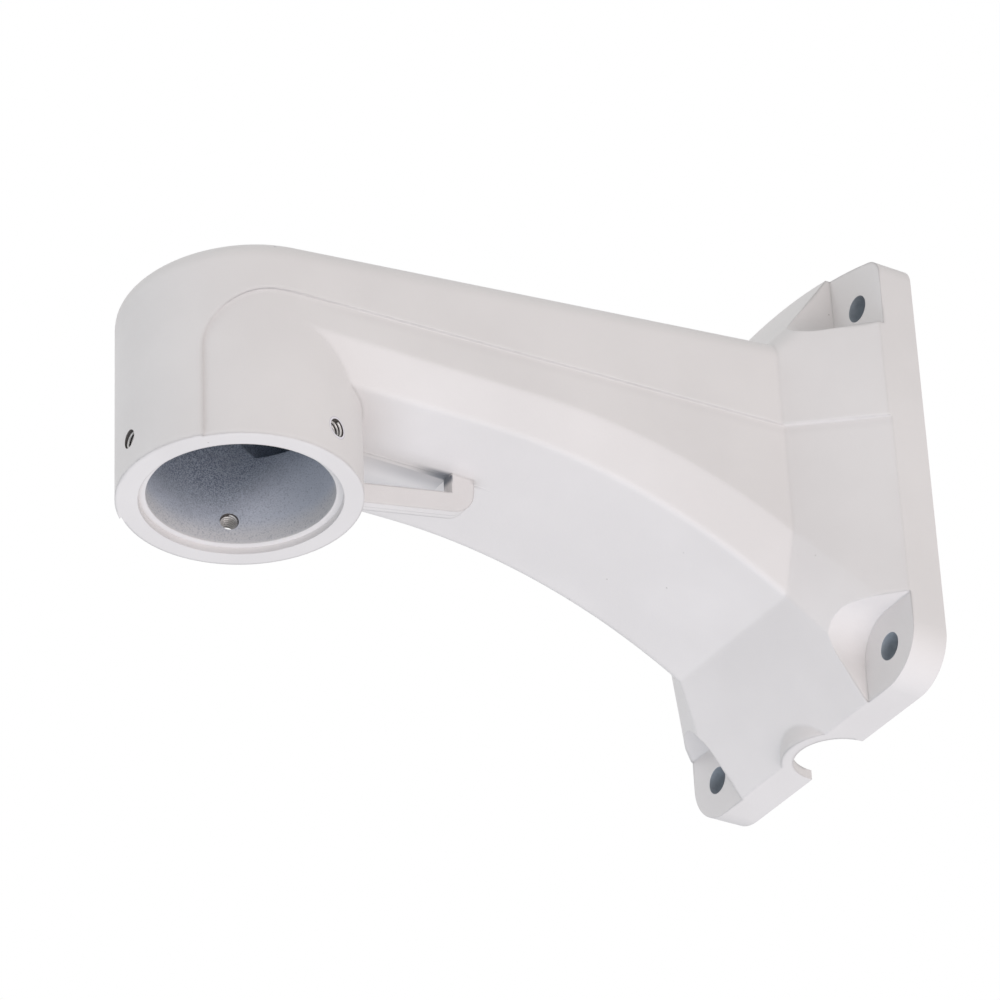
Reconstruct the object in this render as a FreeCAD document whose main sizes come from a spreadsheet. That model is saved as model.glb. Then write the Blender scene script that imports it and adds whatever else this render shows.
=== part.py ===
import FreeCAD, Part
import os
import Sketcher
from math import sqrt

# Wall bracket for a camera: one aluminium die casting.
# Frame: the wall is the plane y = 0 and the arm reaches towards -Y, +Z is up,
# and the origin is the centre of the four wall screws on the back of the base.

SIZES = [
    # cup at the end of the arm, opening downwards
    ("cup_reach", 189.5),
    ("cup_radius", 32.7),
    ("cup_drop", 37.6),
    ("bore_radius", 25.3),
    ("bore_roof", 17.5),
    ("rebate_radius", 27.3),
    ("rebate_depth", 2.0),
    ("lip_round", 2.5),
    ("bore_round", 4.0),
    # tapped holes for the three clamping screws
    ("screw_drop", 28.5),
    ("screw_core", 2.6),
    ("screw_mouth", 3.4),
    ("screw_spread", 112.0),
    # raised band over the arm and down the front of the cup
    ("band_raise", 0.7),
    ("band_line_cup", 8.7),
    ("band_line_neck", 14.8),
    ("band_line_rim", 12.8),
    ("band_front", 24.0),
    ("band_turn", 18.0),
    ("crown_round", 7.0),
    # arm
    ("crown_cup", 26.2),
    ("crown_neck", 44.8),
    ("belly_cup", 10.8),
    ("belly_start", 128.0),
    ("belly_curve", 182.0),
    ("flank_cup", 0.3),
    ("flank_start", 115.0),
    ("keel_half", 27.0),
    ("edge_round", 1.6),
    # base against the wall
    ("neck_reach", 33.0),
    ("rim_depth", 11.5),
    ("rim_half", 54.0),
    ("rim_foot", 67.7),
    ("rim_crown", 75.2),
    ("rim_arch", 165.0),
    ("foot_corner", 14.0),
    ("head_corner", 6.0),
    # wall screws and their pockets
    ("hole_side", 42.45),
    ("hole_up", 55.85),
    ("hole_radius", 4.0),
    ("pocket_radius", 11.5),
    ("pocket_floor", 11.0),
    ("pocket_round", 2.5),
    # cable inlet in the foot of the base
    ("inlet_radius", 12.3),
    ("inlet_lip", 3.4),
    ("inlet_height", 5.5),
    # hollow inside
    ("wall", 3.0),
    ("passage_cup", 23.5),
    # eye for a safety wire, under the arm behind the cup
    ("eye_thick", 4.0),
    ("eye_reach", 117.5),
    ("eye_drop_cup", 29.3),
    ("eye_drop_tip", 21.9),
    ("eye_bar", 6.2),
    ("eye_post", 7.2),
    ("eye_turn", 8.5),
]

doc = FreeCAD.newDocument("wall_bracket")
sheet = doc.addObject("Spreadsheet::Sheet", "Sizes")
for row, (word, size) in enumerate(SIZES, start=1):
    sheet.set("A%d" % row, word)
    sheet.set("B%d" % row, str(size))
    sheet.setAlias("B%d" % row, word)
doc.recompute()


class Size:
    """A length with the sheet expression that drives it."""

    def __init__(self, number, text):
        self.number = float(number)
        self.text = text

    def both(self, other, number, sign):
        text = other.text if isinstance(other, Size) else repr(float(other))
        return Size(number, "(%s %s %s)" % (self.text, sign, text))

    def value(self, other):
        return other.number if isinstance(other, Size) else float(other)

    def __add__(self, other):
        return self.both(other, self.number + self.value(other), "+")

    def __sub__(self, other):
        return self.both(other, self.number - self.value(other), "-")

    def __mul__(self, other):
        return self.both(other, self.number * self.value(other), "*")

    def __truediv__(self, other):
        return self.both(other, self.number / self.value(other), "/")

    def __neg__(self):
        return Size(-self.number, "(0 - %s)" % self.text)

    def root(self):
        return Size(sqrt(self.number), "sqrt(%s)" % self.text)


def size(word):
    return Size(sheet.get(word), "Sizes.%s" % word)


def fixed(number):
    return Size(number, repr(float(number)))


def bind(thing, path, length):
    thing.setExpression(path, length.text)


def body(name):
    made = doc.addObject("PartDesign::Body", name)
    made.Label = name
    return made


def plane(owner, role):
    for feature in owner.Origin.OriginFeatures:
        if feature.Role == role:
            return feature
    raise ValueError(role)


class Outline:
    """A closed sketch drawn from corner to corner, every corner held by the sheet."""

    def __init__(self, owner, name, role, shift=None):
        self.sketch = owner.newObject("Sketcher::SketchObject", name)
        self.sketch.AttachmentSupport = [(plane(owner, role), "")]
        self.sketch.MapMode = "FlatFace"
        if shift is not None:
            bind(self.sketch, ".AttachmentOffset.Base.z", shift)

    def hold(self, kind, parts, length):
        if length.number < 0:
            length = -length
            parts = parts[2:] + parts[:2]
        index = self.sketch.addConstraint(Sketcher.Constraint(kind, *parts, length.number))
        self.sketch.setExpression("Constraints[%d]" % index, length.text)

    def place(self, item, end, across, up):
        for kind, length in (("DistanceX", across), ("DistanceY", up)):
            if length is None:
                continue
            if abs(length.number) < 1e-9:
                axis = -2 if kind == "DistanceX" else -1
                self.sketch.addConstraint(Sketcher.Constraint("PointOnObject", item, end, axis))
            else:
                self.hold(kind, (-1, 1, item, end), length)

    def polygon(self, corners):
        at = [FreeCAD.Vector(a.number, b.number, 0) for a, b in corners]
        lines = []
        for one, two in zip(at, at[1:] + at[:1]):
            lines.append(self.sketch.addGeometry(Part.LineSegment(one, two), False))
        for one, two in zip(lines, lines[1:] + lines[:1]):
            self.sketch.addConstraint(Sketcher.Constraint("Coincident", one, 2, two, 1))
        for line, (a, b) in zip(lines, corners):
            self.place(line, 1, a, b)
        return lines

    def circle(self, across, up, radius):
        middle = FreeCAD.Vector(across.number, up.number, 0)
        item = self.sketch.addGeometry(
            Part.Circle(middle, FreeCAD.Vector(0, 0, 1), radius.number), False)
        self.place(item, 3, across, up)
        self.radius(item, radius)
        return item

    def radius(self, item, length):
        index = self.sketch.addConstraint(Sketcher.Constraint("Radius", item, length.number))
        self.sketch.setExpression("Constraints[%d]" % index, length.text)

    def line(self, one, two):
        return self.sketch.addGeometry(Part.LineSegment(
            FreeCAD.Vector(one[0], one[1], 0), FreeCAD.Vector(two[0], two[1], 0)), False)

    def arc(self, one, mid, two):
        return self.sketch.addGeometry(Part.Arc(
            FreeCAD.Vector(one[0], one[1], 0), FreeCAD.Vector(mid[0], mid[1], 0),
            FreeCAD.Vector(two[0], two[1], 0)), False)

    def join(self, one, end, two, start, kind="Coincident"):
        self.sketch.addConstraint(Sketcher.Constraint(kind, one, end, two, start))

    def rule(self, kind, item):
        self.sketch.addConstraint(Sketcher.Constraint(kind, item))


def pad(owner, name, sketch, length, both=False, back=False):
    made = owner.newObject("PartDesign::Pad", name)
    made.Profile = sketch
    bind(made, "Length", length)
    made.Midplane = both
    made.Reversed = back
    doc.recompute()
    return made


def pocket(owner, name, sketch, length=None, both=False, back=False):
    before = owner.Shape.Volume
    made = owner.newObject("PartDesign::Pocket", name)
    made.Profile = sketch
    if length is None:
        made.Type = "ThroughAll"
    else:
        bind(made, "Length", length)
    made.Midplane = both
    made.Reversed = back
    doc.recompute()
    if not owner.Shape.Volume < before - 1e-3:
        raise RuntimeError("nothing cut by " + name)
    return made


def loft(owner, name, kind, sections, ruled):
    made = owner.newObject(kind, name)
    made.Profile = sections[0]
    made.Sections = sections[1:]
    made.Ruled = ruled
    doc.recompute()
    return made


def soften(owner, name, length, wanted):
    """Round the edges of the body's tip that the test picks out."""
    tip = owner.Tip
    names = []
    for number, edge in enumerate(tip.Shape.Edges, start=1):
        if wanted(edge):
            names.append("Edge%d" % number)
    if not names:
        raise RuntimeError("no edge for " + name)
    made = owner.newObject("PartDesign::Fillet", name)
    made.Base = (tip, names)
    bind(made, "Radius", length)
    doc.recompute()
    return made


def spans(edge):
    box = edge.BoundBox
    return box.XMin, box.XMax, box.YMin, box.YMax, box.ZMin, box.ZMax


ZERO = fixed(0)
reach = size("cup_reach")
cup = size("cup_radius")
drop = size("cup_drop")
neck = size("neck_reach")
raised = size("band_raise")
crown_cup = size("crown_cup")
crown_neck = size("crown_neck")
wall = size("wall")
rim_half = size("rim_half")
rim_depth = size("rim_depth")
rim_foot = size("rim_foot")
rim_crown = size("rim_crown")
rim_arch = size("rim_arch")
belly_start = size("belly_start")
flank_start = size("flank_start")


def crown(out):
    """Height of the arm's top at a distance from the wall."""
    slope = (crown_neck - crown_cup) / (reach - neck)
    return crown_cup + slope * (reach - out)


def sag(flat, start, curve, out):
    """Depth below the origin of a line that is level, then bends down towards the wall."""
    if out.number >= start.number:
        return flat
    run = start - out
    return flat + curve - (curve * curve - run * run).root()


def belly(out):
    return sag(size("belly_cup"), size("belly_start"), size("belly_curve"), out)


def flank(out):
    return sag(size("flank_cup"), size("flank_start"), size("belly_curve"), out)


def profile(owner, name, root, nose, under, lift, start):
    """Side view of the arm: sloping top, level belly, then a curve down to the base."""
    draw = Outline(owner, name, "YZ_Plane")
    top_a = (-root, crown(root) - lift)
    top_b = (-nose, crown(nose) - lift)
    low_b = (-nose, -under)
    low_c = (-start, -under)
    low_d = (-root, -(sag(under, start, size("belly_curve"), root)))
    points = [(a.number, b.number) for a, b in (top_a, top_b, low_b, low_c, low_d)]
    half = (start.number + root.number) / 2
    middle = (-half, -sag(under, start, size("belly_curve"), fixed(half)).number)
    top = draw.line(points[0], points[1])
    front = draw.line(points[1], points[2])
    level = draw.line(points[2], points[3])
    bend = draw.arc(points[4], middle, points[3])
    back = draw.line(points[4], points[0])
    draw.join(top, 2, front, 1)
    draw.join(front, 2, level, 1)
    draw.join(level, 2, bend, 2, "Tangent")
    draw.join(bend, 1, back, 1)
    draw.join(back, 2, top, 1)
    draw.place(top, 1, *top_a)
    draw.place(top, 2, *top_b)
    draw.rule("Vertical", front)
    draw.rule("Horizontal", level)
    draw.place(level, 2, *low_c)
    draw.rule("Vertical", back)
    draw.radius(bend, size("belly_curve"))
    return draw.sketch


def nose_cut(owner, name, radius):
    """Plan view of what lies outside the round front of the arm."""
    draw = Outline(owner, name, "XY_Plane")
    wide = radius + 10
    far = reach + radius + 10
    left = (-radius.number, -reach.number)
    right = (radius.number, -reach.number)
    front = (0, -reach.number - radius.number)
    round_front = draw.arc(left, front, right)
    edge_a = draw.line(right, (wide.number, -reach.number))
    edge_b = draw.line((wide.number, -reach.number), (wide.number, -far.number))
    edge_c = draw.line((wide.number, -far.number), (-wide.number, -far.number))
    edge_d = draw.line((-wide.number, -far.number), (-wide.number, -reach.number))
    edge_e = draw.line((-wide.number, -reach.number), left)
    for one, two in zip((edge_a, edge_b, edge_c, edge_d), (edge_b, edge_c, edge_d, edge_e)):
        draw.join(one, 2, two, 1)
    draw.join(round_front, 2, edge_a, 1)
    draw.join(edge_e, 2, round_front, 1)
    draw.place(round_front, 3, ZERO, -reach)
    draw.radius(round_front, radius)
    draw.place(edge_a, 1, None, -reach)
    draw.place(edge_b, 1, wide, -reach)
    draw.place(edge_c, 1, wide, -far)
    draw.place(edge_d, 1, -wide, -far)
    draw.place(edge_e, 1, -wide, -reach)
    draw.place(edge_e, 2, None, -reach)
    return draw.sketch


def rim_outline(owner, name, shift, inset, grow=None):
    """The base seen from the front: arched head, small head corners, larger foot corners."""
    draw = Outline(owner, name, "XZ_Plane", shift)
    half = rim_half - inset
    foot = rim_foot - inset
    top = rim_crown - inset
    arch = rim_arch - inset
    head_r = size("head_corner") - inset * 0.5
    foot_r = size("foot_corner") - inset
    h, f, r, q = half.number, foot.number, head_r.number, foot_r.number
    side_top = top.number - h * h / (2 * arch.number) - r
    arc_x = h - r * 0.8
    arc_z = top.number - arc_x * arc_x / (2 * arch.number)
    head = draw.arc((arc_x, arc_z), (0, top.number), (-arc_x, arc_z))
    turn_l = draw.arc((-arc_x, arc_z), (-h + 0.25 * r, side_top + 0.7 * r), (-h, side_top))
    side_l = draw.line((-h, side_top), (-h, -f + q))
    foot_l = draw.arc((-h, -f + q), (-h + 0.293 * q, -f + 0.293 * q), (-h + q, -f))
    base = draw.line((-h + q, -f), (h - q, -f))
    foot_t = draw.arc((h - q, -f), (h - 0.293 * q, -f + 0.293 * q), (h, -f + q))
    side_t = draw.line((h, -f + q), (h, side_top))
    turn_t = draw.arc((h, side_top), (h - 0.25 * r, side_top + 0.7 * r), (arc_x, arc_z))
    ring = [(head, 1, 2), (turn_l, 1, 2), (side_l, 1, 2), (foot_l, 1, 2),
            (base, 1, 2), (foot_t, 1, 2), (side_t, 1, 2), (turn_t, 1, 2)]
    for one, two in zip(ring, ring[1:] + ring[:1]):
        draw.join(one[0], one[2], two[0], two[1], "Tangent")
    draw.rule("Vertical", side_l)
    draw.rule("Vertical", side_t)
    draw.rule("Horizontal", base)
    draw.place(head, 3, ZERO, top - arch)
    draw.radius(head, arch)
    draw.place(side_l, 1, -half, None)
    draw.place(side_t, 1, half, None)
    draw.place(base, 1, None, -foot)
    for item, length in ((turn_l, head_r), (turn_t, head_r), (foot_l, foot_r), (foot_t, foot_r)):
        draw.radius(item, length)
    return draw.sketch


def neck_outline(owner, name, out, half, top, flank_low, belly_low, keel_half, turn):
    """Section of the arm or of its hollow, seen from the front."""
    draw = Outline(owner, name, "XZ_Plane", out)
    w, t, f, b, k, r = [item.number for item in (half, top, flank_low, belly_low, keel_half, turn)]
    head = draw.line((w - r, t), (-w + r, t))
    turn_l = draw.arc((-w + r, t), (-w + 0.293 * r, t - 0.293 * r), (-w, t - r))
    side_l = draw.line((-w, t - r), (-w, -f))
    slant_l = draw.line((-w, -f), (-k, -b))
    base = draw.line((-k, -b), (k, -b))
    slant_t = draw.line((k, -b), (w, -f))
    side_t = draw.line((w, -f), (w, t - r))
    turn_t = draw.arc((w, t - r), (w - 0.293 * r, t - 0.293 * r), (w - r, t))
    draw.join(head, 2, turn_l, 1, "Tangent")
    draw.join(turn_l, 2, side_l, 1, "Tangent")
    draw.join(side_l, 2, slant_l, 1)
    draw.join(slant_l, 2, base, 1)
    draw.join(base, 2, slant_t, 1)
    draw.join(slant_t, 2, side_t, 1)
    draw.join(side_t, 2, turn_t, 1, "Tangent")
    draw.join(turn_t, 2, head, 1, "Tangent")
    draw.rule("Horizontal", head)
    draw.rule("Vertical", side_l)
    draw.rule("Vertical", side_t)
    draw.place(head, 1, None, top)
    draw.place(slant_l, 1, -half, -flank_low)
    draw.place(base, 1, -keel_half, -belly_low)
    draw.place(base, 2, keel_half, -belly_low)
    draw.place(side_t, 1, half, -flank_low)
    draw.radius(turn_l, turn)
    draw.radius(turn_t, turn)
    return draw.sketch


def band_outline(owner, name, out, half, top, low, turn):
    """Section of the raised band over the arm, seen from the front."""
    draw = Outline(owner, name, "XZ_Plane", out)
    w, t, b, r = [item.number for item in (half, top, low, turn)]
    head = draw.line((w - r, t), (-w + r, t))
    turn_l = draw.arc((-w + r, t), (-w + 0.293 * r, t - 0.293 * r), (-w, t - r))
    side_l = draw.line((-w, t - r), (-w, b))
    base = draw.line((-w, b), (w, b))
    side_t = draw.line((w, b), (w, t - r))
    turn_t = draw.arc((w, t - r), (w - 0.293 * r, t - 0.293 * r), (w - r, t))
    draw.join(head, 2, turn_l, 1, "Tangent")
    draw.join(turn_l, 2, side_l, 1, "Tangent")
    draw.join(side_l, 2, base, 1)
    draw.join(base, 2, side_t, 1)
    draw.join(side_t, 2, turn_t, 1, "Tangent")
    draw.join(turn_t, 2, head, 1, "Tangent")
    draw.rule("Horizontal", head)
    draw.rule("Vertical", side_l)
    draw.rule("Vertical", side_t)
    draw.place(head, 1, None, top)
    draw.place(base, 1, -half, low)
    draw.place(base, 2, half, low)
    draw.radius(turn_l, turn)
    draw.radius(turn_t, turn)
    return draw.sketch


def head_outline(owner, name, shift, low):
    """The upper part of the base outline, down to the line where the raised band ends."""
    draw = Outline(owner, name, "XZ_Plane", shift)
    head_r = size("head_corner")
    h, r, b = rim_half.number, head_r.number, low.number
    side_top = rim_crown.number - h * h / (2 * rim_arch.number) - r
    arc_x = h - r * 0.8
    arc_z = rim_crown.number - arc_x * arc_x / (2 * rim_arch.number)
    head = draw.arc((arc_x, arc_z), (0, rim_crown.number), (-arc_x, arc_z))
    turn_l = draw.arc((-arc_x, arc_z), (-h + 0.25 * r, side_top + 0.7 * r), (-h, side_top))
    side_l = draw.line((-h, side_top), (-h, b))
    base = draw.line((-h, b), (h, b))
    side_t = draw.line((h, b), (h, side_top))
    turn_t = draw.arc((h, side_top), (h - 0.25 * r, side_top + 0.7 * r), (arc_x, arc_z))
    draw.join(head, 2, turn_l, 1, "Tangent")
    draw.join(turn_l, 2, side_l, 1, "Tangent")
    draw.join(side_l, 2, base, 1)
    draw.join(base, 2, side_t, 1)
    draw.join(side_t, 2, turn_t, 1, "Tangent")
    draw.join(turn_t, 2, head, 1, "Tangent")
    draw.rule("Vertical", side_l)
    draw.rule("Vertical", side_t)
    draw.place(head, 3, ZERO, rim_crown - rim_arch)
    draw.radius(head, rim_arch)
    draw.place(base, 1, -rim_half, low)
    draw.place(base, 2, rim_half, low)
    draw.radius(turn_l, head_r)
    draw.radius(turn_t, head_r)
    return draw.sketch


def corner_regions(owner, name, shift, radius):
    """Round each wall screw and open towards the base's corner: four regions in one sketch."""
    draw = Outline(owner, name, "XZ_Plane", shift)
    side = size("hole_side")
    up = size("hole_up")
    for sx in (1, -1):
        for sz in (1, -1):
            middle_x = side * sx
            middle_z = up * sz
            near_x = (side - radius) * sx
            near_z = (up - radius) * sz
            far_x = (rim_half + 15) * sx
            far_z = (rim_crown + 15) * sz
            mx, mz = middle_x.number, middle_z.number
            nx, nz = near_x.number, near_z.number
            fx, fz = far_x.number, far_z.number
            bulge = (mx + (nx - mx) * 0.7071, mz + (nz - mz) * 0.7071)
            turn = draw.arc((nx, mz), bulge, (mx, nz))
            inner = draw.line((nx, mz), (nx, fz))
            head = draw.line((nx, fz), (fx, fz))
            outer = draw.line((fx, fz), (fx, nz))
            foot = draw.line((fx, nz), (mx, nz))
            first, last = (1, 2) if sx * sz > 0 else (2, 1)
            draw.join(turn, first, inner, 1)
            draw.join(inner, 2, head, 1)
            draw.join(head, 2, outer, 1)
            draw.join(outer, 2, foot, 1)
            draw.join(foot, 2, turn, last)
            draw.place(turn, 3, middle_x, middle_z)
            draw.place(inner, 1, near_x, middle_z)
            draw.place(inner, 2, near_x, far_z)
            draw.place(outer, 1, far_x, far_z)
            draw.place(foot, 1, far_x, near_z)
            draw.place(foot, 2, middle_x, None)
    return draw.sketch


# The casting from outside, still solid.
casting = body("bracket_casting")
half_panel = cup
half_band = cup + raised
hidden = fixed(0.05)

side_view = profile(casting, "side_view", neck - 8, reach + half_band,
                    size("belly_cup"), raised, size("belly_start"))
pad(casting, "arm", side_view, half_panel * 2, both=True)
pocket(casting, "arm_nose", nose_cut(casting, "arm_nose_plan", half_panel), both=True)


def slant_view(owner, name, part):
    """Side view of what is cut off below the flank line; part 1 lies on the belly's edge."""
    flat = size("flank_cup") + (size("belly_cup") - size("flank_cup")) * part
    start = size("flank_start") + (size("belly_start") - size("flank_start")) * part
    end = neck - 28 + (size("belly_start") - size("flank_start")) * part
    curve = size("belly_curve")
    across = half_panel - (half_panel - size("keel_half")) * part
    draw = Outline(owner, name, "YZ_Plane", across)
    far = reach + 20
    deep = sag(flat, start, curve, end)
    floor = fixed(80)
    middle = fixed((start.number + end.number) / 2)
    level = draw.line((-far.number, -flat.number), (-start.number, -flat.number))
    bend = draw.arc((-end.number, -deep.number),
                    (-middle.number, -sag(flat, start, curve, middle).number),
                    (-start.number, -flat.number))
    fall = draw.line((-end.number, -deep.number), (-end.number, -floor.number))
    base = draw.line((-end.number, -floor.number), (-far.number, -floor.number))
    rise = draw.line((-far.number, -floor.number), (-far.number, -flat.number))
    draw.join(level, 2, bend, 2, "Tangent")
    draw.join(bend, 1, fall, 1)
    draw.join(fall, 2, base, 1)
    draw.join(base, 2, rise, 1)
    draw.join(rise, 2, level, 1)
    draw.rule("Horizontal", level)
    draw.place(level, 1, -far, None)
    draw.place(level, 2, -start, -flat)
    draw.radius(bend, curve)
    draw.place(fall, 1, -end, None)
    draw.place(fall, 2, -end, -floor)
    draw.place(base, 2, -far, -floor)
    return draw.sketch


slant_outer = slant_view(casting, "flank_view", 0)
slant_inner = slant_view(casting, "belly_view", 1.5)
slant = loft(casting, "slant_side", "PartDesign::SubtractiveLoft", [slant_outer, slant_inner], True)
mirror = casting.newObject("PartDesign::Mirrored", "slant_other_side")
mirror.Originals = [slant]
mirror.MirrorPlane = (plane(casting, "YZ_Plane"), "")
casting.Tip = mirror
doc.recompute()


def arm_edge(edge):
    x0, x1, y0, y1, z0, z1 = spans(edge)
    long_enough = y1 - y0 > 60
    return long_enough and z1 < crown_cup.number - 15 and x1 - x0 < 12


soften(casting, "arm_edges", size("edge_round"), arm_edge)


def band_view(owner, name):
    """Side view of the raised band: along the top of the arm and down the front of the cup."""
    draw = Outline(owner, name, "YZ_Plane")
    root = neck - 8
    nose = reach + half_band
    front = reach + size("band_front")
    slope = (size("band_line_neck") - size("band_line_cup")) / (reach - neck)
    low_root = size("band_line_cup") + slope * (reach - root)
    low_front = size("band_line_cup") - slope * size("band_front")
    turn = size("band_turn")
    a = (-root.number, crown(root).number)
    b = (-nose.number, crown(nose).number)
    c = (-nose.number, -drop.number)
    d = (-front.number, -drop.number)
    e = (-front.number, low_front.number - turn.number)
    f = (-front.number + 0.3 * turn.number, low_front.number - 0.3 * turn.number)
    g = (-front.number + turn.number, low_front.number)
    i = (-root.number, low_root.number)
    top = draw.line(a, b)
    nose_line = draw.line(b, c)
    foot = draw.line(c, d)
    inner = draw.line(d, e)
    bend = draw.arc(g, f, e)
    low = draw.line(g, i)
    back = draw.line(i, a)
    draw.join(top, 2, nose_line, 1)
    draw.join(nose_line, 2, foot, 1)
    draw.join(foot, 2, inner, 1)
    draw.join(inner, 2, bend, 2, "Tangent")
    draw.join(bend, 1, low, 1, "Tangent")
    draw.join(low, 2, back, 1)
    draw.join(back, 2, top, 1)
    draw.place(top, 1, -root, crown(root))
    draw.place(top, 2, -nose, crown(nose))
    draw.place(foot, 1, -nose, -drop)
    draw.place(foot, 2, -front, -drop)
    draw.rule("Vertical", inner)
    draw.radius(bend, turn)
    draw.place(back, 1, -root, low_root)
    tilt = draw.line((-reach.number, size("band_line_cup").number), g)
    draw.sketch.toggleConstruction(tilt)
    draw.join(tilt, 2, low, 1, "Tangent")
    draw.place(tilt, 1, -reach, size("band_line_cup"))
    return draw.sketch


pad(casting, "band", band_view(casting, "band_side"), half_band * 2, both=True)
pocket(casting, "band_nose", nose_cut(casting, "band_nose_plan", half_band), both=True)


def crown_edge(edge):
    x0, x1, y0, y1, z0, z1 = spans(edge)
    return z0 > 12 and y1 - y0 > 30 and max(-x0, x1) > half_panel.number + 0.1


soften(casting, "crown_edges", size("crown_round"), crown_edge)

cup_plan = Outline(casting, "cup_plan", "XY_Plane", -drop)
cup_plan.circle(ZERO, -reach, cup)
pad(casting, "cup", cup_plan.sketch, drop + 5)

# The base: the arm's section spreads to the outline of the rim.
neck_low = neck_outline(casting, "neck_low", neck, half_panel - hidden, crown(neck) - raised,
                        flank(neck) - 0.3, belly(neck) - 0.15, size("keel_half") - 0.3,
                        size("crown_round"))
rim_view = rim_outline(casting, "rim_view", rim_depth, ZERO)
loft(casting, "base_flare", "PartDesign::AdditiveLoft", [neck_low, rim_view], True)
pad(casting, "rim", rim_view, rim_depth, back=True)

head_depth = rim_depth + raised * 1.4
neck_band = band_outline(casting, "neck_band", neck + 1, half_band - hidden,
                         crown(neck + 1) - hidden, size("band_line_neck"), size("crown_round"))
head_view = head_outline(casting, "head_view", head_depth, size("band_line_rim"))
loft(casting, "head_flare", "PartDesign::AdditiveLoft", [neck_band, head_view], True)
pad(casting, "head_rim", head_view, head_depth, back=True)

# A lip round the cable inlet keeps the wall thick where the inlet is deeper than the rim.
inlet = size("inlet_radius")
lip_plan = Outline(casting, "lip_plan", "XY_Plane", -rim_foot)
lip = inlet + size("inlet_lip")
lip_arc = lip_plan.arc((-lip.number, 0), (0, -lip.number), (lip.number, 0))
lip_line = lip_plan.line((lip.number, 0), (-lip.number, 0))
lip_plan.join(lip_arc, 2, lip_line, 1)
lip_plan.join(lip_line, 2, lip_arc, 1)
lip_plan.place(lip_arc, 3, ZERO, ZERO)
lip_plan.rule("Horizontal", lip_line)
lip_plan.radius(lip_arc, lip)
pad(casting, "inlet_lip", lip_plan.sketch, size("inlet_height") + 2)

# The eye for the safety wire: a bar behind the cup and a post up to the arm.
eye_reach = size("eye_reach")
eye_post = size("eye_post")
eye_bar = size("eye_bar")
eye_cup = reach - cup
eye_slope = (size("eye_drop_cup") - size("eye_drop_tip")) / (eye_cup - eye_reach)
eye_root = eye_cup + 3
eye_plan = Outline(casting, "eye_side", "YZ_Plane")
eye_plan.polygon([
    (-eye_root, -(size("eye_drop_cup") + eye_slope * 3 - eye_bar)),
    (-eye_root, -(size("eye_drop_cup") + eye_slope * 3)),
    (-eye_reach, -size("eye_drop_tip")),
    (-eye_reach, -size("belly_cup") + 2),
    (-(eye_reach + eye_post), -size("belly_cup") + 2),
    (-(eye_reach + eye_post), -(size("eye_drop_tip") + eye_slope * eye_post - eye_bar)),
])
pad(casting, "eye", eye_plan.sketch, size("eye_thick"), both=True)


def eye_edge(out, low):
    def wanted(edge):
        x0, x1, y0, y1, z0, z1 = spans(edge)
        flat = y1 - y0 < 0.01 and z1 - z0 < 0.01 and x1 - x0 > 1
        return flat and abs(y0 + out.number) < 0.1 and abs(z0 + low.number) < 0.1
    return wanted


soften(casting, "eye_tip", size("eye_turn"), eye_edge(eye_reach, size("eye_drop_tip")))

# What is hollow: the bore of the cup, the passage through the arm and the base.
hollow = body("hollow")
bore = size("bore_radius")
bore_plan = Outline(hollow, "bore_plan", "XY_Plane", -drop - 1)
bore_plan.circle(ZERO, -reach, bore)
pad(hollow, "bore", bore_plan.sketch, drop + 1 + size("bore_roof"))
soften(hollow, "bore_roof_edge", size("bore_round"), lambda edge: spans(edge)[4] > 0)
rebate_plan = Outline(hollow, "rebate_plan", "XY_Plane", -drop - 1)
rebate_plan.circle(ZERO, -reach, size("rebate_radius"))
pad(hollow, "rebate", rebate_plan.sketch, size("rebate_depth") + 1)

inner_neck = neck - 1.2
passage_cup = size("passage_cup")
passage_end = reach - 5


def passage(name, out):
    """Section of the passage, wider and higher towards the wall."""
    share = (passage_end - out) / (passage_end - inner_neck)
    half = passage_cup + (half_panel - wall - passage_cup) * share
    keel_inner = half - (half_panel - size("keel_half")) * 0.7
    return neck_outline(hollow, name, out, half, crown(out) - raised - wall,
                        flank(out), belly(out) - wall, keel_inner, size("bore_round"))


outs = [passage_end, belly_start + 20, flank_start, flank_start - 22, flank_start - 45, inner_neck]
sections = [passage("passage_%d" % n, out) for n, out in enumerate(outs)]
doc.recompute()
loft(hollow, "passage", "PartDesign::AdditiveLoft", sections, False)
inner_rim = rim_outline(hollow, "inner_rim", rim_depth - 1.2, wall)
loft(hollow, "base_hollow", "PartDesign::AdditiveLoft", [sections[-1], inner_rim], True)
open_rim = rim_outline(hollow, "open_rim", fixed(-1), wall)
pad(hollow, "base_open", open_rim, rim_depth - 1.2 + 1)
pocket(hollow, "screw_columns",
       corner_regions(hollow, "column_plan", neck, size("pocket_radius") + wall))
inlet_plan = Outline(hollow, "inlet_plan", "XY_Plane", -rim_foot - 1)
inlet_plan.circle(ZERO, ZERO, inlet)
pad(hollow, "inlet", inlet_plan.sketch, size("inlet_height") + 1)

carve = casting.newObject("PartDesign::Boolean", "carve_hollow")
carve.setObjects([hollow])
carve.Type = "Cut"
doc.recompute()

# Screw pockets, wall screw holes and the tapped holes of the cup.
pocket(casting, "screw_pockets",
       corner_regions(casting, "pocket_plan", size("pocket_floor"), size("pocket_radius")),
       back=True)
holes = Outline(casting, "hole_plan", "XZ_Plane")
for side in (1, -1):
    for up in (1, -1):
        holes.circle(size("hole_side") * side, size("hole_up") * up, size("hole_radius"))
pocket(casting, "wall_holes", holes.sketch, both=True)


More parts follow.
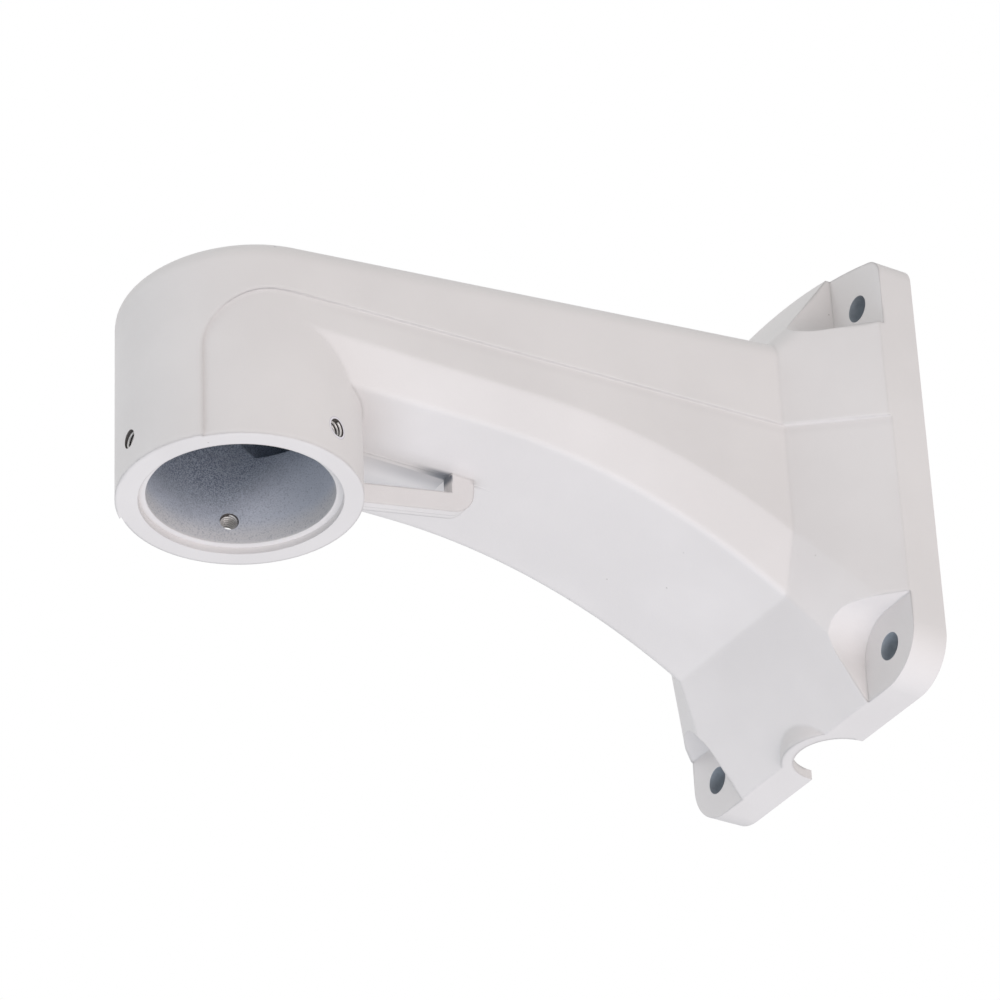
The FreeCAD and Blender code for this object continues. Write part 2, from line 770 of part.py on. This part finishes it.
def radial(kind, name, turn, extra):
    """A round cut square to the cup's axis, at an angle from the front."""
    made = casting.newObject(kind, name)
    made.AttachmentSupport = [(plane(casting, "XZ_Plane"), "")]
    made.MapMode = "FlatFace"
    made.AttachmentOffset = FreeCAD.Placement(
        FreeCAD.Vector(0, 0, 0), FreeCAD.Rotation(FreeCAD.Vector(0, 1, 0), turn.number))
    bind(made, ".AttachmentOffset.Rotation.Angle", turn)
    bind(made, ".AttachmentOffset.Base.y", -size("screw_drop"))
    bind(made, ".AttachmentOffset.Base.z", reach)
    for word, length in extra.items():
        bind(made, word, length)
    doc.recompute()
    return made


for number, turn in enumerate((ZERO, size("screw_spread"), -size("screw_spread"))):
    radial("PartDesign::SubtractiveCylinder", "screw_hole_%d" % number, turn,
           {"Radius": size("screw_core"), "Height": reach * 0.25})

doc.recompute()
for item in doc.Objects:
    for word in ("Invalid", "Error"):
        if word in item.State:
            raise RuntimeError("%s is %s" % (item.Name, word))
made = casting.Shape
if made.isNull() or not made.isValid() or len(made.Solids) != 1:
    raise RuntimeError("the casting is not one sound solid")
os.makedirs("parts", exist_ok=True)
made.exportStep("parts/%s.step" % casting.Label)
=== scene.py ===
import math

import bmesh
import bpy
from mathutils import Matrix, Vector


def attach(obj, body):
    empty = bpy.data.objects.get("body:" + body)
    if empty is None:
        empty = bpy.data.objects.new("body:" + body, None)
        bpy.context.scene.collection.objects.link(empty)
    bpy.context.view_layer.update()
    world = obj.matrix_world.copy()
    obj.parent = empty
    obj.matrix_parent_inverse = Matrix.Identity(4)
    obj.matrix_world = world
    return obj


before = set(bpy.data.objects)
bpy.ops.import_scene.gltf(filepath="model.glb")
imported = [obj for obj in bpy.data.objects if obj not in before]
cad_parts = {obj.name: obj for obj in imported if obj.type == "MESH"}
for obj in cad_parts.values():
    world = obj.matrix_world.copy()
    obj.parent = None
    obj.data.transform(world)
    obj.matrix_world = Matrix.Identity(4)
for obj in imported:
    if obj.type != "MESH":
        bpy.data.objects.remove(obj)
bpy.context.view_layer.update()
scene = bpy.context.scene

MM = 0.001

# sizes of the casting in mm, as the CAD has them
CUP_Y = -189.5                       # axis of the socket
CUP_R = 32.7                         # also half the width of the arm below the raised band
CUP_LOW_Z = -37.6
BORE_R = 25.3
BORE_ROOF_Z = 17.5
REBATE_Z = -35.6                     # step between the bore and the wider mouth
NECK_Y = -33.0                       # where the arm meets the flare
RIM_Y = -11.5                        # front of the base's rim
CROWN_Z, NECK_CROWN_Z = 26.2, 44.8   # top of the arm at the socket's axis and at the neck
LINE_Z, NECK_LINE_Z = 8.7, 14.8      # lower edge of the raised band at the same places
RIM_LINE_Z = 12.8                    # and at the rim
BAND_FRONT = 24.0                    # from the socket's axis to the band's end beside it
BELLY_Z, FLANK_Z = -10.8, -0.3       # underside of the arm and lower end of its flanks, where level
BELLY_Y, FLANK_Y = -128.0, -115.0    # where they start to curve down
ARM_BEND = 182.0                     # radius of those curves
EYE_POST_Y = -124.7                  # the side of the eye's post that faces the socket
HOLE_X, HOLE_Z, HOLE_R = 42.45, 55.85, 4.0
TAP_Z, TAP_R = -28.5, 2.6
TAPS = (                             # name, turn about the socket's axis, where its thread ends
    ("thread_front", 0.0, 33.25),
    ("thread_right", 112.0, 32.55),
    ("thread_left", -112.0, 32.55),
)
ARM_RUN = NECK_Y - CUP_Y
CROWN_RISE = (NECK_CROWN_Z - CROWN_Z) / ARM_RUN
LINE_RISE = (NECK_LINE_Z - LINE_Z) / ARM_RUN
FLARE_FALL = (NECK_LINE_Z - RIM_LINE_Z) / (RIM_Y - NECK_Y)

# for the looks, in mm
MACHINED_R = 30.0                    # nearer to the socket's axis than this, edges are crisp
WIDE = 9.0                           # radius of the softest edges
FAR = 50.0                           # added to a distance, takes a place out of its reach

# a word for each kind of node: its type, settings, the sockets that values fill in turn, its output
NODES = {
    "place": ("ShaderNodeTexCoord", {}, (), "Object"),
    "axes": ("ShaderNodeSeparateXYZ", {}, (0,), None),
    "channels": ("ShaderNodeSeparateColor", {}, (0,), None),
    "ramp": ("ShaderNodeMapRange", {"interpolation_type": "SMOOTHSTEP"}, range(5), 0),
    "mix": ("ShaderNodeMix", {"data_type": "RGBA"}, (0, 6, 7), 2),
    "noise": ("ShaderNodeTexNoise", {}, ("Vector", "Scale", "Detail", "Roughness"), "Fac"),
    "cells": ("ShaderNodeTexVoronoi", {}, ("Vector", "Scale"), None),
    "soft edge": ("ShaderNodeBevel", {"samples": 6}, ("Radius",), 0),
    "bump": ("ShaderNodeBump", {}, ("Strength", "Distance", "Height", "Normal"), 0),
    "shader": ("ShaderNodeBsdfPrincipled", {}, ("Base Color", "Metallic", "Roughness", "Normal"), 0),
    "surface": ("ShaderNodeOutputMaterial", {}, (0,), None),
    "rays": ("ShaderNodeLightPath", {}, (), None),
    "glow": ("ShaderNodeBackground", {}, ("Color", "Strength"), 0),
    "either": ("ShaderNodeMixShader", {}, (0, 1, 2), 0),
    "world": ("ShaderNodeOutputWorld", {}, (0,), None),
}
ARITHMETIC = {
    "plus": "ADD", "minus": "SUBTRACT", "times": "MULTIPLY", "over": "DIVIDE", "root": "SQRT",
    "size": "ABSOLUTE", "least": "MINIMUM", "most": "MAXIMUM",
    "above": "GREATER_THAN", "below": "LESS_THAN",
}
for word, operation in ARITHMETIC.items():
    NODES[word] = ("ShaderNodeMath", {"operation": operation}, (0, 1), 0)


def linear(code):
    """An sRGB hex colour as linear RGBA."""
    out = []
    for i in (0, 2, 4):
        c = int(code[i:i + 2], 16) / 255
        out.append(c / 12.92 if c <= 0.04045 else ((c + 0.055) / 1.055) ** 2.4)
    return (*out, 1.0)


def adder(tree):
    """The function that adds a node to this tree, with its settings and links, and gives its output.

    A ramp is a smooth step from 0 to 1 between two limits, or between two values named after them.
    A mix is its second value where its first is 0, and its third where that is 1.
    """
    def n(word, *values, **more):
        kind, settings, sockets, output = NODES[word]
        if kind == "ShaderNodeMath" and len(values) > 2:
            values = (n(word, *values[:-1], **more), values[-1])
        node = tree.nodes.new(kind)
        for name, value in {**settings, **more}.items():
            setattr(node, name, value)
        for socket, value in zip(sockets, values):
            if isinstance(value, bpy.types.NodeSocket):
                tree.links.new(value, node.inputs[socket])
            else:
                node.inputs[socket].default_value = linear(value) if isinstance(value, str) else value
        return node if output is None else node.outputs[output]
    return n


def material(name):
    """A new material, its node adder, Object coordinates, and their x, y and z in mm."""
    made = bpy.data.materials.new(name)
    made.use_nodes = True
    made.node_tree.nodes.clear()
    n = adder(made.node_tree)
    place = n("place")
    return made, n, place, [n("times", axis, 1 / MM) for axis in n("axes", place).outputs]


def per(size_mm):
    """The scale of a pattern whose cells or grains have this size."""
    return 1 / (size_mm * MM)


def distance(n, across, along):
    return n("root", n("plus", n("times", across, across), n("times", along, along)))


def tapped_distance(n, x, cup_y, z):
    """Distance in mm from the axis of the nearest tapped hole."""
    nearest = []
    for _, turn, _ in TAPS:
        way = math.radians(turn)
        along = n("minus", n("times", x, math.sin(way)), n("times", cup_y, math.cos(way)))
        across = n("plus", n("times", x, math.cos(way)), n("times", cup_y, math.sin(way)))
        off = distance(n, across, n("minus", z, TAP_Z))
        nearest.append(n("plus", off, n("times", n("below", along, 0.0), 2 * FAR)))
    return n("least", *nearest)


class Spots:
    """The places that the casting's look tells apart, as distances in mm and shares from 0 to 1."""

    def __init__(self, n, x, y, z):
        self.n, self.x, self.y, self.z = n, x, y, z
        self.side = n("size", x)
        self.cup_y = n("minus", y, CUP_Y)
        self.cup_r = distance(n, x, self.cup_y)
        self.inside = n("most", self.bore(), self.arm())
        self.tapped = tapped_distance(n, x, self.cup_y, z)
        self.thread = n("times", n("below", self.tapped, TAP_R + 0.04), n("above", self.cup_r, BORE_R + 0.06))
        self.outer_tap = n("times", n("above", self.side, 10.0), n("above", self.cup_r, 31.2))
        self.sink = n("times", n("ramp", self.tapped, 3.25, 3.10),
                      n("minus", 1.0, self.thread), self.outer_tap)
        self.hole_r = distance(n, n("minus", self.side, HOLE_X), n("minus", n("size", z), HOLE_Z))
        self.drilled = n("times", n("below", self.hole_r, HOLE_R + 0.02), n("above", y, -12.0))
        # darkening at the eye: its upper end darkened, and painted shade beside its loop
        self.corner = n("most", self.eye_corner(), self.eye_lee_painted_shade())
        on_arm = n("plus", LINE_Z, n("times", self.cup_y, LINE_RISE))
        on_flare = n("minus", NECK_LINE_Z, n("times", n("minus", y, NECK_Y), FLARE_FALL))
        self.line = n("least", on_arm, on_flare)
        self.by_line = self.line_distance()

    def bore(self):
        n, z = self.n, self.z
        return n("times", n("below", self.cup_r, BORE_R + 0.5),
                 n("ramp", z, REBATE_Z - 0.3, REBATE_Z + 1.0), n("below", z, BORE_ROOF_Z + 1.1))

    def sag(self, start, flat):
        """How far below z = 0 a lower curve of the arm runs."""
        n = self.n
        run = n("most", n("minus", self.y, start), 0.0)
        root = n("root", n("minus", ARM_BEND * ARM_BEND, n("times", run, run)))
        return n("minus", ARM_BEND + flat, root)

    def arm(self):
        """The hollow of the arm, out to the middle of its walls, fading towards the base."""
        n, z = self.n, self.z
        belly = self.sag(BELLY_Y, -BELLY_Z)
        flank = self.sag(FLANK_Y, -FLANK_Z)
        fall = n("over", n("minus", n("times", z, -1.0), flank), n("minus", belly, flank), use_clamp=True)
        half = n("minus", CUP_R - 1.3, n("times", fall, 6.0))
        crown = n("plus", CROWN_Z - 2.6, n("times", self.cup_y, CROWN_RISE))
        return n("times", n("below", self.side, half), n("below", z, crown),
                 n("above", n("plus", z, belly), 1.6),
                 n("ramp", self.y, -30.0, -75.0), n("above", self.y, -196.0))

    def eye_corner(self):
        """The upper end of the eye, darkened to blue-grey."""
        n, x, y, z = self.n, self.x, self.y, self.z
        near = n("times", n("ramp", x, 2.6, 0.4), n("ramp", x, -2.6, -1.4, 0.30, 1.0))
        on_post = n("ramp", z, -14.4, -12.2)
        bare = n("plus", on_post, n("times", n("above", z, BELLY_Z - 0.7), n("minus", near, on_post)))
        return n("times", n("below", self.side, 3.6), n("above", z, -15.6), n("below", z, -9.5),
                 n("ramp", y, -138.0, -125.5), n("below", y, EYE_POST_Y + 0.4), bare)

    def eye_lee_painted_shade(self):
        """Painted shade on the arm's underside beside the eye's loop, on the side of negative x only."""
        n, x, y, z = self.n, self.x, self.y, self.z
        return n("times", n("ramp", x, -1.2, -2.0), n("ramp", x, -9.0, -3.5),
                 n("ramp", y, -160.0, -130.0, 0.0, 0.45), n("below", y, EYE_POST_Y + 0.4),
                 n("above", z, BELLY_Z - 0.7), n("below", z, BELLY_Z + 0.5))

    def line_distance(self):
        """Distance from the line where the raised band ends, on the arm and the flare."""
        n = self.n
        beyond = n("most", n("ramp", self.y, -191.0, -194.0), n("above", self.y, RIM_Y + 0.1))
        return n("plus", n("size", n("minus", self.z, self.line)), n("times", beyond, FAR))

    def band_end(self):
        """Distance from the band's end beside the socket, and from a turn near its corner, on the left."""
        n, turn = self.n, 10.0
        turn_y, turn_z = n("plus", self.cup_y, BAND_FRONT - turn), n("plus", self.z, 2.0)
        corner = n("size", n("minus", distance(n, turn_y, turn_z), turn))
        corner = n("plus", corner, n("times", n("above", self.cup_y, -12.0), FAR))
        end = n("least", n("size", n("plus", self.cup_y, BAND_FRONT)), corner)
        return n("plus", end, n("times", n("above", self.x, 0.0), FAR))


def coat_colour(n, place):
    """Near white, a little uneven, with rare dark specks of burnt powder."""
    uneven = n("ramp", n("noise", place, per(38.0), 3.0), 0.3, 0.7)
    coat = n("mix", uneven, "DFDCDB", "E4E1E0")
    cells = n("cells", place, per(5.2)).outputs
    reach = n("times", n("ramp", n("channels", cells["Color"]).outputs[0], 0.80, 1.0), 0.055)
    speck = n("below", cells["Distance"], reach)
    return n("mix", n("times", speck, 0.55), coat, "9A9692")


def bare_colour(n, place, spots, grain):
    """Blue-grey casting, finely speckled, and dusted with powder near the mouth of the bore."""
    blotch = n("noise", place, per(7.0), 3.0)
    metal = n("mix", n("ramp", grain, 0.36, 0.64), "626A78", "A8B0BC")
    metal = n("mix", n("times", n("ramp", blotch, 0.35, 0.75), 0.35), metal, "8F959E")
    lift = n("ramp", spots.cup_y, 6.0, 27.0, 0.0, 17.0)
    depth = n("minus", n("plus", spots.z, n("times", blotch, 5.0)), lift)
    amount = n("plus", n("times", n("ramp", depth, -13.0, -34.5), 1.1), 0.02)
    powder = n("ramp", n("noise", place, per(0.5), 3.0, 0.6), 0.0, 0.62)
    powder_colour = n("mix", n("ramp", spots.z, -27.0, -34.0), "D3D8E2", "DFDEDF")
    return n("mix", n("times", powder, amount, use_clamp=True), metal, powder_colour)


def band_line_highlight_and_shade(n, spots, colour):
    """The step where the raised band ends: a painted highlight on its edge and painted shade below it, fading
    beside the socket.
    """
    strength = n("ramp", spots.y, -191.0, -168.0)
    # painted highlight: the band's edge lightened to a light line
    edge = n("times", n("ramp", spots.by_line, 0.6, 0.2, 0.0, 0.60), strength)
    # painted shade: a belt under the step darkened
    below = n("times", n("ramp", spots.by_line, 4.0, 1.6), n("below", spots.z, n("minus", spots.line, 0.3)))
    colour = n("mix", edge, colour, "F2F0EF")
    return n("mix", n("times", below, 0.14, strength), colour, "C8C5C4")


def edge_softness(n, spots):
    """How far edges look rounded, in mm: wide on the arm and flare, tight where it is machined."""
    y = spots.y
    low_cup = n("plus", n("times", n("above", spots.cup_r, CUP_R + 0.8), FAR), spots.z)
    facing = n("minus", n("times", spots.x, 0.84), n("times", spots.cup_y, 0.545))
    lip = n("most", n("ramp", low_cup, CUP_LOW_Z + 0.8, -33.0, 1.1, WIDE),
            n("ramp", facing, 8.0, 20.0, 1.1, 3.4))
    eye = n("times", n("below", spots.side, 3.2), n("below", y, -112.0),
            n("below", spots.z, -12.6), n("above", spots.cup_r, CUP_R + 0.5))
    return n(
        "least",
        n("ramp", y, -64.0, -42.0, 3.4, WIDE),
        n("ramp", y, -26.0, -13.0, WIDE, 1.5),
        n("ramp", y, -3.0, -1.6, 2.0, 0.15),
        n("ramp", spots.cup_r, MACHINED_R, MACHINED_R + 1.0, 0.5, WIDE),
        lip,
        n("ramp", spots.by_line, 1.5, 6.0, 1.7, WIDE),
        n("ramp", spots.band_end(), 1.6, 5.0, 0.3, WIDE),
        n("minus", WIDE, n("times", eye, WIDE - 1.0)),
        n("ramp", spots.tapped, 3.0, 6.0, 0.1, WIDE),
        n("ramp", spots.hole_r, 10.0, 24.0, 0.25, WIDE))


def relief(n, place, spots, grain):
    """Heights in mm: the coat's fine skin, the rougher cast skin inside, the parting line below."""
    skin = n("times", n("noise", place, per(0.75), 2.0, 0.5), 0.022)
    rough = n("times", grain, 0.10, spots.inside)
    seam = n("times", n("ramp", spots.side, 0.45, 0.1), n("ramp", spots.y, -158.0, -156.0),
             n("ramp", spots.y, -108.0, -117.0), n("below", spots.z, -9.0), 0.10)
    return n("plus", skin, rough, seam)


def white_powder_coat():
    """Baked powder coat on a die-cast aluminium wall: matt, soft at its edges and hardly textured.

    Where the powder doesn't reach, the bare casting shows, and where holes are cut, bright metal. Highlight
    and shade are painted along the band's step, and shade beside the eye's loop and between the threads.
    """
    made, n, place, (x, y, z) = material("white_powder_coat")
    spots = Spots(n, x, y, z)
    grain = n("noise", place, per(0.38), 3.0, 0.6)

    colour = n("mix", spots.inside, coat_colour(n, place), bare_colour(n, place, spots, grain))
    # painted highlight and painted shade along the band's step
    colour = band_line_highlight_and_shade(n, spots, colour)
    # the eye's upper end darkened to blue-grey, and painted shade beside its loop
    colour = n("mix", n("times", spots.corner, 0.85), colour, "636B76")
    hole_colour = n("mix", n("noise", place, per(1.6), 2.0), "969EA6", "B0B7BE")
    colour = n("mix", spots.drilled, colour, hole_colour)
    # bare metal in the tapped holes, darkened as painted shade between the thread's ridges
    colour = n("mix", spots.thread, colour, "6E6967")
    colour = n("mix", spots.sink, colour, "E4E2E8")
    ring = n("times", n("ramp", spots.tapped, 3.02, 3.14), n("ramp", spots.tapped, 3.40, 3.22),
             spots.outer_tap)
    colour = n("mix", n("times", ring, 0.35), colour, "A5A2AA")

    cut = n("most", n("times", spots.thread, 0.4), n("times", spots.sink, 0.2))
    metallic = n("most", n("times", spots.drilled, 0.25), cut)
    matt = n("ramp", n("noise", place, per(1.1), 2.0), 0.3, 0.7, 0.50, 0.60)
    roughness = n("minus", matt, n("times", cut, 0.3))

    round_edge = n("soft edge", n("times", edge_softness(n, spots), MM))
    normal = n("bump", 1.0, MM, relief(n, place, spots, grain), round_edge)
    n("surface", n("shader", colour, metallic, roughness, normal))
    return made


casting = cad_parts["bracket_casting"]
casting.data.materials.clear()
casting.data.materials.append(white_powder_coat())


def cut_metal():
    """Freshly cut aluminium thread: bright on its crests, with painted shade in its grooves."""
    made, n, _, (x, y, z) = material("cut_metal")
    # painted shade: the thread darkened towards the roots of its grooves
    groove_painted_shade = n("ramp", tapped_distance(n, x, n("minus", y, CUP_Y), z), 2.24, 2.56)
    n("surface", n("shader", n("mix", groove_painted_shade, "ECEAE8", "5E5957"), 0.3, 0.3))
    return made


def thread(name, turn, last, made):
    """The ridge of a tapped hole: one V-shaped profile wound along the hole's axis."""
    way = math.radians(turn)
    axis = Vector((math.sin(way), -math.cos(way), 0.0))
    hub = Vector((0.0, CUP_Y, TAP_Z)) * MM
    pitch, first, steps = 1.0, BORE_R + 0.3, 20
    root, crest = TAP_R + 0.03, 2.16
    profile = [(root, 0.0), (crest, 0.32), (crest, 0.60), (root, 0.98)]
    count = round(((last - first) / pitch - 1.0) * steps)
    bm = bmesh.new()
    start = bm.faces.new([
        bm.verts.new(hub + axis * ((first + along) * MM) + Vector((0.0, 0.0, out * MM)))
        for out, along in profile])
    bmesh.ops.spin(bm, geom=[start], cent=hub, axis=axis, angle=2.0 * math.pi * count / steps,
                   steps=count, dvec=axis * (pitch * MM / steps), use_merge=False)
    bmesh.ops.recalc_face_normals(bm, faces=bm.faces[:])
    mesh = bpy.data.meshes.new(name)
    bm.to_mesh(mesh)
    bm.free()
    mesh.shade_smooth()
    mesh.materials.append(made)
    piece = bpy.data.objects.new(name, mesh)
    scene.collection.objects.link(piece)
    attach(piece, "root")


fresh_metal = cut_metal()
for name, turn, last in TAPS:
    thread(name, turn, last, fresh_metal)


def studio_paper():
    """Matt paper: nearly white, uneven over so wide a stretch that no pattern is seen."""
    made, n, place, _ = material("pale_floor")
    n("surface", n("shader", n("mix", n("noise", place, per(400.0)), "EDEDEE", "F1F1F1"), 0.0, 0.9))
    return made


def floor(half, low):
    bm = bmesh.new()
    bmesh.ops.create_grid(bm, x_segments=1, y_segments=1, size=half,
                          matrix=Matrix.Translation((0.0, 0.0, low)))
    mesh = bpy.data.meshes.new("floor")
    bm.to_mesh(mesh)
    bm.free()
    mesh.materials.append(studio_paper())
    thing = bpy.data.objects.new("floor", mesh)
    scene.collection.objects.link(thing)


floor(40.0, -1.6)


def backdrop(level):
    """White for the camera and for reflections, a plain level of light for the rest."""
    world = bpy.data.worlds.new("studio")
    world.use_nodes = True
    world.node_tree.nodes.clear()
    n = adder(world.node_tree)
    rays = n("rays").outputs
    seen = n("most", rays["Is Camera Ray"], rays["Is Glossy Ray"], rays["Is Transmission Ray"])
    n("world", n("either", seen, n("glow", "FFFFFF", level), n("glow", "FFFFFF", 1.0)))
    scene.world = world


backdrop(0.62)


def lamp(name, place, aim, size, power, colour):
    data = bpy.data.lights.new(name, "AREA")
    data.shape = "DISK"
    data.size = size
    data.energy = power
    data.color = linear(colour)[:3]
    thing = bpy.data.objects.new(name, data)
    thing.location = place
    thing.rotation_euler = (Vector(aim) - Vector(place)).to_track_quat("-Z", "Y").to_euler()
    scene.collection.objects.link(thing)


MIDDLE = (0.0, -0.11, 0.0)
lamp("key", (1.28, -0.03, -0.96), MIDDLE, 1.0, 9.5, "FFF6F6")
lamp("front", (-0.30, -1.31, 0.82), MIDDLE, 1.0, 3.4, "F4F9FF")
lamp("under", (0.0, -0.52, -1.28), MIDDLE, 0.9, 5.3, "E6F0FF")


def camera(place):
    """The photograph's view: from the right, in front and below."""
    turn, lift, roll = math.radians(57.0014), math.radians(-32.1836), math.radians(-2.7496)
    back = Vector((math.sin(turn) * math.cos(lift), -math.cos(turn) * math.cos(lift), math.sin(lift)))
    right = Vector((math.cos(turn), math.sin(turn), 0.0))
    up = back.cross(right)
    right, up = (right * math.cos(roll) + up * math.sin(roll),
                 up * math.cos(roll) - right * math.sin(roll))
    data = bpy.data.cameras.new("photo_view")
    data.sensor_fit = "HORIZONTAL"
    data.sensor_width = 36.0
    data.lens = 176.28
    data.clip_start = 0.01
    data.clip_end = 50.0
    thing = bpy.data.objects.new("photo_view", data)
    thing.matrix_world = Matrix((
        (right.x, up.x, back.x, place[0]),
        (right.y, up.y, back.y, place[1]),
        (right.z, up.z, back.z, place[2]),
        (0.0, 0.0, 0.0, 1.0)))
    scene.collection.objects.link(thing)
    scene.camera = thing


camera((0.95533, -0.72828, -0.73036))
scene.view_settings.view_transform = "Standard"
